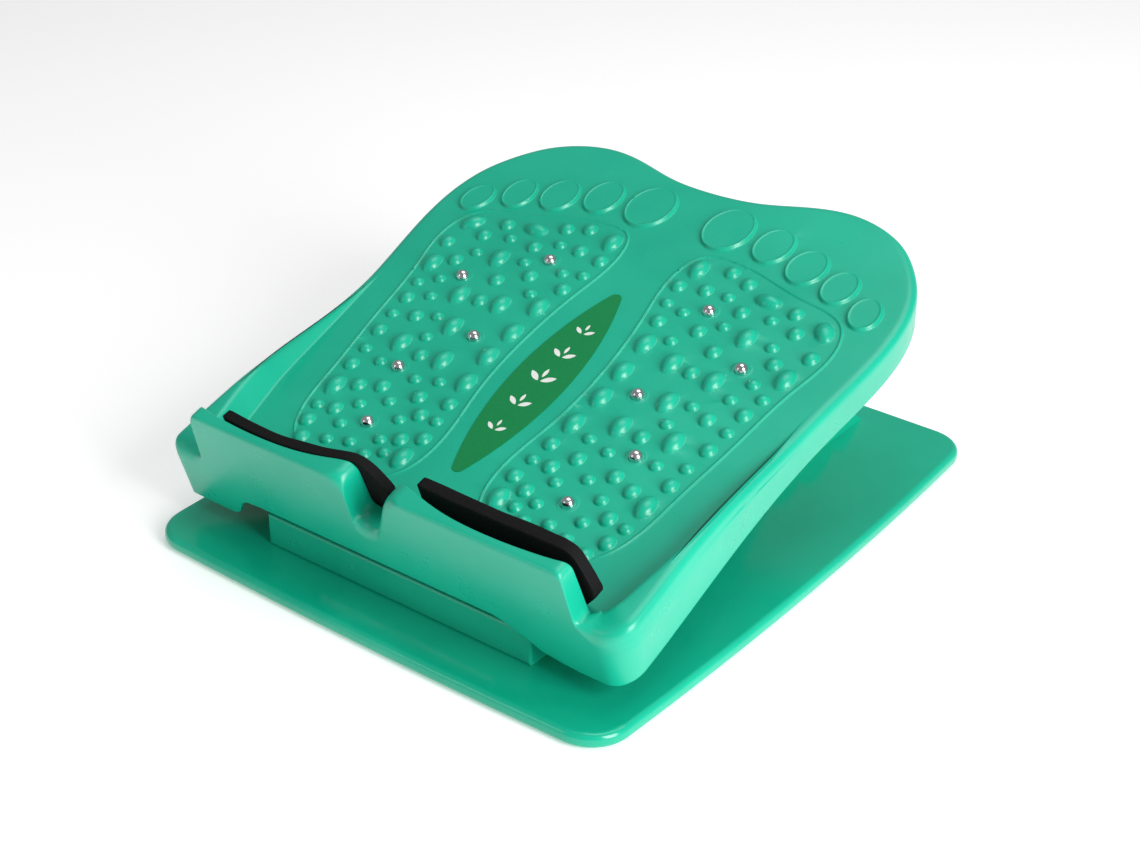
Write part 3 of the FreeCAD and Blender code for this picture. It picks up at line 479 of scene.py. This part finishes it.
def tread(rim_loop):
    """The tread inside the edge strip, as points and triangles."""
    bumps = bump_list()
    line = smooth_curve(FOOT_LINE, 2.2, closed=True)
    lines = [line, line * (-1, 1)]
    loop = [rim_loop[0]]
    for point in rim_loop[1:]:
        if np.linalg.norm(point - loop[-1]) > 0.05:
            loop.append(point)
    if np.linalg.norm(loop[0] - loop[-1]) < 0.05:
        loop.pop()
    inside = tread_points(bumps, lines)
    for x in range(-150, 151, 9):
        for v in range(40, 340, 9):
            inside.append((x + 0.37, v + 0.21))
    keep = clear_of_loop(np.array(inside), np.array(loop), 1.0)
    coords = [Vector(p) for p in loop] + [Vector(p) for p in keep]
    border = [list(range(len(loop)))]
    found = delaunay_2d_cdt(coords, [], border, 1, 1e-4)
    flat = np.array([tuple(p) for p in found[0]])
    height = relief(flat, bumps, lines)
    on_border = {i for i, sources in enumerate(found[3]) if any(s < len(loop) for s in sources)}
    height[list(on_border)] = 0
    return np.column_stack([flat, height]), found[2]


def clear_of_loop(points, loop, gap):
    """The points that lie inside a closed loop and at least gap away from it."""
    inside = np.zeros(len(points), bool)
    near = np.full(len(points), 1e9)
    for start, end in zip(loop, np.roll(loop, -1, axis=0)):
        crossing = (start[1] > points[:, 1]) != (end[1] > points[:, 1])
        if abs(end[1] - start[1]) > 1e-9:
            at = (end[0] - start[0]) * (points[:, 1] - start[1]) / (end[1] - start[1]) + start[0]
            inside ^= crossing & (points[:, 0] < at)
        near = np.minimum(near, np.hypot(points[:, 0] - start[0], points[:, 1] - start[1]))
    return points[inside & (near > gap)]


# ---------------------------------------------------------------- foot board: underside
def bar(x0, x1, v0, v1, n0, n1, edge=0.4):
    """A rib with softened lower edges."""
    outer = [(v0, n1), (v0, n0 + edge), (v0 + edge, n0), (v1 - edge, n0), (v1, n0 + edge), (v1, n1)]
    return extruded(outer, x0, x1)


def extruded(profile, x0, x1):
    """A closed (v, n) profile drawn out along x."""
    count = len(profile)
    points = [(x, v, n) for x in (x0, x1) for v, n in profile]
    faces = [(i, (i + 1) % count, count + (i + 1) % count, count + i) for i in range(count)]
    faces += [tuple(range(count))[::-1], tuple(range(count, 2 * count))]
    return points, faces


def saddle(v0, v1, top, low, centre, radius):
    """A lug's profile with a half-round seat for a rod in its lower face."""
    arc = [(centre + radius * math.cos(a), low + radius * math.sin(a))
           for a in np.linspace(0, math.pi, 15)]
    return [(v0, top), (v0, low)] + arc[::-1] + [(v1, low), (v1, top)]


def ring_post(x, v, radius, low, top):
    """A round boss below the tread."""
    count = 28
    points = []
    for level, grow in ((top, 1.2), (top - 1.2, 0.2), (low + 0.4, 0), (low, -0.4)):
        for k in range(count):
            way = 2 * math.pi * k / count
            points.append((x + (radius + grow) * math.cos(way), v + (radius + grow) * math.sin(way),
                           level))
    faces = []
    for level in range(3):
        for k in range(count):
            nxt = (k + 1) % count
            low_row, next_row = level * count, (level + 1) * count
            faces.append((low_row + k, low_row + nxt, next_row + nxt, next_row + k))
    faces += [tuple(range(count)), tuple(range(3 * count, 4 * count))[::-1]]
    return points, faces


def underside():
    """Ribs, ball bosses and the lugs that hold the two rods."""
    top, low, half = -PANEL + 0.3, -11, 1.25
    pieces = []
    for x in (-135, -110, 110, 135):
        end = 300 if abs(x) > 120 else 341
        pieces.append(bar(x - half, x + half, 17, end, low, top))
    for x in (-40, 0, 40):
        pieces.append(bar(x - half, x + half, 37, 190, low, top))
        pieces.append(bar(x - half, x + half, 16.5, 23, low, top))
    for v in (62, 110, 160):
        pieces.append(bar(-153, 153, v - half, v + half, low, top))
    for v, reach in ((230, 156), (300, 151)):
        pieces.append(bar(88, reach, v - half, v + half, low, top))
        pieces.append(bar(-reach, -88, v - half, v + half, low, top))
    for side in (-1, 1):
        pieces += [ring_post(side * x, v, 7, -7.3, top) for x, v in BALLS]
        hinge_x, prop_x = sorted((side * 64, side * 82)), sorted((side * 46, side * 62))
        pieces.append(extruded(saddle(22, 48, top, HINGE_N, HINGE_V, ROD_SEAT), *hinge_x))
        pieces.append(extruded(saddle(197, 223, top, PROP_N, PROP_V, ROD_SEAT), *prop_x))
    return pieces


def foot_board(material):
    """The moulding: edge strip, tread and ceiling in one skin, with the ribs and lugs below it."""
    rows = edge_strip()
    wide = len(rows[0])
    points = [p for row in rows for p in row]
    faces = []
    for i in range(len(rows)):
        j = (i + 1) % len(rows)
        faces += [(i * wide + k, j * wide + k, j * wide + k + 1, i * wide + k + 1) for k in range(wide - 1)]
    top_points, top_faces = tread([row[-1][:2] for row in rows])
    base = len(points)
    points += list(top_points)
    faces += [tuple(base + i for i in face) for face in top_faces]
    ceiling = [row[0] for row in rows]
    found = delaunay_2d_cdt([Vector(p[:2]) for p in ceiling], [], [list(range(len(ceiling)))], 1, 1e-4)
    base = len(points)
    points += [np.array((p[0], p[1], -PANEL)) for p in found[0]]
    faces += [tuple(base + i for i in face) for face in found[2]]
    board = mesh_object("foot_board_moulding", points, faces)
    weld(board, 0.02 * MM)
    extra_points, extra_faces = [], []
    for more_points, more_faces in underside():
        base = len(extra_points)
        extra_points += more_points
        extra_faces += [tuple(base + i for i in face) for face in more_faces]
    ribs = mesh_object("ribs", extra_points, extra_faces, smooth=False)
    weld(ribs, 0.001 * MM)
    work = bmesh.new()
    work.from_mesh(board.data)
    work.from_mesh(ribs.data)
    work.to_mesh(board.data)
    work.free()
    bpy.data.objects.remove(ribs)
    return finish_piece(board, "board", material, ["foot_board"])


# ---------------------------------------------------------------- foam pads
# Each pad's wall side in plan and the height of its top and of its lower edge against x: the left
# pad is glued along its stop's hollow face, the right one spans it like a bowstring, and both
# droop at the right end.
PADS = {
    "left": {"line": [(-107, 24.8), (-92, 23.6), (-76, 23.1), (-61, 23.4), (-48, 24.8), (-36, 26.9),
                      (-25, 29.5), (-17, 31.1), (-8, 31.7), (1, 31.6)],
             "top": [(-107, 45.4), (-16, 45.2), (-8.4, 40.5), (1, 29.6)], "thick": 5.8,
             "low": [(-107, 1.8), (1, 1.8)]},
    "right": {"line": [(25.5, 32.6), (38, 32.1), (60, 31.6), (85, 31.5), (110, 31.6), (122, 31.7),
                       (131, 31.6)],
              "top": [(25.5, 45.6), (118, 45.4), (124, 41.5), (131, 20.5)], "thick": 6.6,
              "low": [(25.5, 1.8), (116, 1.8), (123, 5.5), (131, 15.5)]},
}


def foam_pad(side, material):
    """A foam strip: sections along its line, a little uneven in height and thickness."""
    shape = PADS[side]
    path = smooth_curve(shape["line"], 2.0)
    crest = rounded_path(shape["top"], [0, 5, 4, 0], 1.5)
    start = path[0][0]
    along = np.gradient(path, axis=0)
    along /= np.linalg.norm(along, axis=1)[:, None]
    points, ring_size = [], 0
    last = len(path) - 1
    for i, (point, way) in enumerate(zip(path, along)):
        top = np.interp(point[0], crest[:, 0], crest[:, 1]) + 0.15 * math.sin(point[0] * 0.21 + start)
        thick = shape["thick"] + 0.2 * math.sin(point[0] * 0.13 + 1.7)
        pinch = 0.5 if i in (0, last) else 0.0
        outline = pad_section(thick, top, np.interp(point[0], *zip(*shape["low"])), pinch)
        ring_size = len(outline)
        normal = np.array((-way[1], way[0]))
        points += [np.append(point + normal * depth, n) for depth, n in outline]
    faces = []
    for i in range(last):
        for k in range(ring_size):
            nxt = (k + 1) % ring_size
            here, ahead = i * ring_size, (i + 1) * ring_size
            faces.append((here + k, here + nxt, ahead + nxt, ahead + k))
    faces += [tuple(range(ring_size))[::-1], tuple(last * ring_size + k for k in range(ring_size))]
    pad = mesh_object(f"heel_foam_{side}", points, faces)
    weld(pad, 0.001 * MM)
    return finish_piece(pad, "board", material, [f"foam_pad_{side}"])


def pad_section(thick, top, low, pinch):
    """A cut foam strip's section: nearly square corners and faces that bulge a little."""
    soft = 0.7
    out = []
    corners = [(0, low, 180), (thick, low, 270), (thick, top, 0), (0, top, 90)]
    for depth, n, start in corners:
        centre = (depth + (soft if depth == 0 else -soft), n + (soft if n == low else -soft))
        for turn in np.linspace(0, 90, 5):
            way = math.radians(start + turn)
            out.append([centre[0] + (soft - pinch * 0.5) * math.cos(way),
                        centre[1] + (soft - pinch * 0.5) * math.sin(way)])
        if depth > 0 and n == low:
            rise = np.linspace(low + 1.5, top - 1.5, 8)
            out += [[thick - pinch * 0.4 + 0.25 * math.sin((r - low) / (top - low) * math.pi), r]
                    for r in rise]
        if depth == 0 and n == top:
            fall = np.linspace(top - 1.5, low + 1.5, 8)
            out += [[pinch * 0.4, r] for r in fall]
    return out


# ---------------------------------------------------------------- label motif
def label_motif(material):
    """Five plain sprigs of three leaves down the middle of the label."""
    points, faces = [], []
    level = 0.36

    def leaf(x, v, long, wide, turn):
        base = len(points)
        count = 9
        edge = []
        for k in range(count + 1):
            f = k / count
            edge.append((wide / 2 * math.sin(math.pi * f) ** 0.8, long * f))
        edge += [(-a, b) for a, b in edge[-2:0:-1]]
        for a, b in edge:
            px = x + a * math.cos(turn) - b * math.sin(turn)
            pv = v + a * math.sin(turn) + b * math.cos(turn)
            points.append((px, pv, level))
        points.extend([(p[0], p[1], level - 0.12) for p in points[base:]])
        size = len(edge)
        faces.append(tuple(range(base, base + size)))
        faces.append(tuple(range(base + size, base + 2 * size))[::-1])
        for k in range(size):
            nxt = (k + 1) % size
            faces.append((base + k, base + size + k, base + size + nxt, base + nxt))

    for v in (113, 134, 155, 176, 197):
        scale = 1 - abs(v - 155) / 140
        for side in (-1, 1):
            leaf(side * 0.9, v, 9.5 * scale, 3.6 * scale, -side * 0.95)
        leaf(0, v + 3.2, 7.0 * scale, 2.4 * scale, 0)
    motif = mesh_object("label_motif", points, faces, smooth=False)
    weld(motif, 0.001 * MM)
    return finish_piece(motif, "board", material)


# ---------------------------------------------------------------- materials
def new_material(name):
    """A node material, its tree and its shader."""
    material = bpy.data.materials.new(name)
    material.use_nodes = True
    tree = material.node_tree
    return material, tree, tree.nodes["Principled BSDF"]


def noise(tree, scale, detail=3.0, roughness=0.5):
    """Noise in object space, as a number from 0 to 1."""
    place = tree.nodes.new("ShaderNodeTexCoord")
    node = tree.nodes.new("ShaderNodeTexNoise")
    node.inputs["Scale"].default_value = scale
    node.inputs["Detail"].default_value = detail
    node.inputs["Roughness"].default_value = roughness
    tree.links.new(place.outputs["Object"], node.inputs["Vector"])
    return node.outputs["Fac"]


def mapped(tree, value, low, high, to_low, to_high):
    """A number carried from one range to another and held inside it."""
    node = tree.nodes.new("ShaderNodeMapRange")
    for key, number in (("From Min", low), ("From Max", high), ("To Min", to_low), ("To Max", to_high)):
        node.inputs[key].default_value = number
    tree.links.new(value, node.inputs["Value"])
    return node.outputs["Result"]


def mix_colour(tree, share, first, second):
    """A colour between two, by a share."""
    node = tree.nodes.new("ShaderNodeMix")
    node.data_type = "RGBA"
    node.inputs["A"].default_value = (*first, 1)
    node.inputs["B"].default_value = (*second, 1)
    tree.links.new(share, node.inputs["Factor"])
    return node.outputs["Result"]


def bumps(tree, shader, layers):
    """Bump from several heights: (height, strength, distance in metres)."""
    last = None
    for height, strength, distance in layers:
        node = tree.nodes.new("ShaderNodeBump")
        node.inputs["Strength"].default_value = strength
        node.inputs["Distance"].default_value = distance
        tree.links.new(height, node.inputs["Height"])
        if last:
            tree.links.new(last, node.inputs["Normal"])
        last = node.outputs["Normal"]
    tree.links.new(last, shader.inputs["Normal"])


def moulded_plastic(name, colour, rough, grain, coat=0.0):
    """Sea-green moulded plastic: slight flow marks, a fine grain and patchy gloss."""
    material, tree, shader = new_material(name)
    light = tuple(min(1, c * 1.06 + 0.004) for c in colour)
    dark = tuple(c * 0.94 for c in colour)
    flow = noise(tree, 9, 4, 0.6)
    tree.links.new(mix_colour(tree, mapped(tree, flow, 0.35, 0.65, 0, 1), dark, light),
                   shader.inputs["Base Color"])
    handled = noise(tree, 38, 5, 0.6)
    tree.links.new(mapped(tree, handled, 0.3, 0.7, rough - 0.04, rough + 0.05), shader.inputs["Roughness"])
    bumps(tree, shader, [(noise(tree, 14, 2), 0.10, 0.0006), (noise(tree, 1900, 2), grain, 0.00004)])
    shader.inputs["IOR"].default_value = 1.5
    shader.inputs["Coat Weight"].default_value = coat
    shader.inputs["Coat Roughness"].default_value = 0.12
    shader.inputs["Subsurface Weight"].default_value = 0.0
    return material


def foam(name):
    """Closed-cell black foam."""
    material, tree, shader = new_material(name)
    cells = noise(tree, 1500, 3, 0.7)
    tree.links.new(mix_colour(tree, mapped(tree, cells, 0.3, 0.75, 0, 1), (0.003, 0.003, 0.0035),
                              (0.012, 0.012, 0.0125)), shader.inputs["Base Color"])
    tree.links.new(mapped(tree, cells, 0.3, 0.7, 0.78, 0.95), shader.inputs["Roughness"])
    bumps(tree, shader, [(noise(tree, 60, 3), 0.3, 0.0006), (cells, 0.8, 0.00012)])
    shader.inputs["Specular IOR Level"].default_value = 0.15
    return material


def metal(name, colour, rough, spread, scale):
    """A bare metal with slight marks."""
    material, tree, shader = new_material(name)
    marks = noise(tree, scale, 4, 0.6)
    dull = tuple(c * 0.85 for c in colour)
    tree.links.new(mix_colour(tree, mapped(tree, marks, 0.35, 0.65, 0, 1), dull, colour),
                   shader.inputs["Base Color"])
    tree.links.new(mapped(tree, marks, 0.3, 0.7, rough, rough + spread), shader.inputs["Roughness"])
    shader.inputs["Metallic"].default_value = 1.0
    bumps(tree, shader, [(noise(tree, scale * 6, 2), 0.08, 0.00002)])
    return material


def film(name, colour, rough, gloss=0.5):
    """An even film, rubber or plastic with a faint print grain."""
    material, tree, shader = new_material(name)
    print_grain = noise(tree, 700, 3, 0.6)
    light = tuple(min(1, c * 1.12 + 0.002) for c in colour)
    tree.links.new(mix_colour(tree, mapped(tree, print_grain, 0.3, 0.7, 0, 1), colour, light),
                   shader.inputs["Base Color"])
    tree.links.new(mapped(tree, noise(tree, 60, 3), 0.3, 0.7, rough, rough + 0.08),
                   shader.inputs["Roughness"])
    bumps(tree, shader, [(noise(tree, 45, 2), 0.2, 0.0002)])
    shader.inputs["Specular IOR Level"].default_value = gloss
    return material


def dress(names, material):
    """Give CAD nodes their material."""
    for name in names:
        mesh = frame["nodes"][name].data
        mesh.materials.clear()
        mesh.materials.append(material)


SEA_GREEN = (0.003, 0.435, 0.275)
BASE_GREEN = (0.003, 0.430, 0.265)
board_plastic = moulded_plastic("board_plastic", SEA_GREEN, 0.30, 0.12)
base_plastic = moulded_plastic("base_plastic", BASE_GREEN, 0.17, 0.06)
rack_plastic = moulded_plastic("rack_plastic", BASE_GREEN, 0.24, 0.12)
black_foam = foam("black_foam")
steel = metal("polished_steel", (0.78, 0.78, 0.80), 0.14, 0.05, 300)
zinc = metal("zinc_steel", (0.55, 0.56, 0.58), 0.30, 0.15, 400)
label_green = film("label_green", (0.004, 0.215, 0.062), 0.42, 0.2)
label_white = film("label_white", (0.78, 0.80, 0.76), 0.35)
rubber = film("black_rubber", (0.018, 0.018, 0.018), 0.6)
nylon = film("white_nylon", (0.62, 0.62, 0.56), 0.4)

dress(["base_plate"], base_plastic)
dress(["rack_rail_left", "rack_rail_right", "front_cross_wall"], rack_plastic)
dress(["prop_frame", "hinge_cap_left", "hinge_cap_right", "prop_cap_left", "prop_cap_right"], rack_plastic)
dress(["hinge_rod", "prop_pivot_rod", "prop_foot_bar", "massage_balls_left", "massage_balls_right"], steel)
dress(["frame_screws", "cap_screws", "hinge_rod_clips"], zinc)
dress(["rubber_feet"], rubber)
dress(["foot_roller_left", "foot_roller_right"], nylon)
dress(["label_sticker"], label_green)
foot_board(board_plastic)
foam_pad("left", black_foam)
foam_pad("right", black_foam)
label_motif(label_white)


# ---------------------------------------------------------------- studio
def studio():
    """A white paper floor, an even pale surrounding and three softboxes."""
    floor = mesh_object("floor", [(-8, -8, 0), (8, -8, 0), (8, 8, 0), (-8, 8, 0)], [(0, 1, 2, 3)],
                        Matrix.Identity(4), False)
    material, tree, shader = new_material("floor_paper")
    shader.inputs["Base Color"].default_value = (0.95, 0.95, 0.95, 1)
    shader.inputs["Emission Color"].default_value = (1, 1, 1, 1)
    shader.inputs["Emission Strength"].default_value = 0.3
    shader.inputs["Roughness"].default_value = 0.9
    shader.inputs["Specular IOR Level"].default_value = 0.1
    floor.data.materials.append(material)
    world = bpy.data.worlds.new("studio")
    bpy.context.scene.world = world
    world.use_nodes = True
    world.node_tree.nodes["Background"].inputs["Color"].default_value = (1, 1, 1, 1)
    world.node_tree.nodes["Background"].inputs["Strength"].default_value = 0.27
    softbox("right_softbox", (1.5, -0.35, 0.75), (0.7, 1.1), 29)
    softbox("left_softbox", (-0.9, -1.7, 0.9), (0.6, 0.9), 2.5)
    softbox("overhead", (0.1, 0.5, 2.1), (1.5, 1.5), 16)
    bpy.context.scene.view_settings.view_transform = "Standard"


def softbox(name, place, size, power):
    """A rectangular area light that faces the object."""
    data = bpy.data.lights.new(name, "AREA")
    data.shape = "RECTANGLE"
    data.size, data.size_y = size
    data.energy = power
    lamp = bpy.data.objects.new(name, data)
    bpy.context.scene.collection.objects.link(lamp)
    aim(lamp, place, (0, 0, 0.05), 0)


def aim(thing, place, target, roll):
    """Put a lamp or camera at a place and turn it to a target."""
    way = Vector(target) - Vector(place)
    turn = way.to_track_quat("-Z", "Y").to_matrix().to_4x4()
    thing.matrix_world = Matrix.Translation(place) @ turn @ Matrix.Rotation(roll, 4, "Z")


def camera():
    """The camera, at the place and lens that were fitted to the object's outline."""
    data = bpy.data.cameras.new("camera")
    data.lens, data.sensor_width = 58.44, 36
    data.shift_x, data.shift_y = 0.0206, 0.0051
    thing = bpy.data.objects.new("camera", data)
    bpy.context.scene.collection.objects.link(thing)
    aim(thing, (0.5658, -0.7520, 0.5639), (0, -0.0287, 0.0542), math.radians(0.19))
    bpy.context.scene.camera = thing


studio()
camera()
bpy.context.view_layer.update()


def plain(bounds):
    """Bounds as plain lists of numbers."""
    return [[float(number) for number in side] for side in bounds]
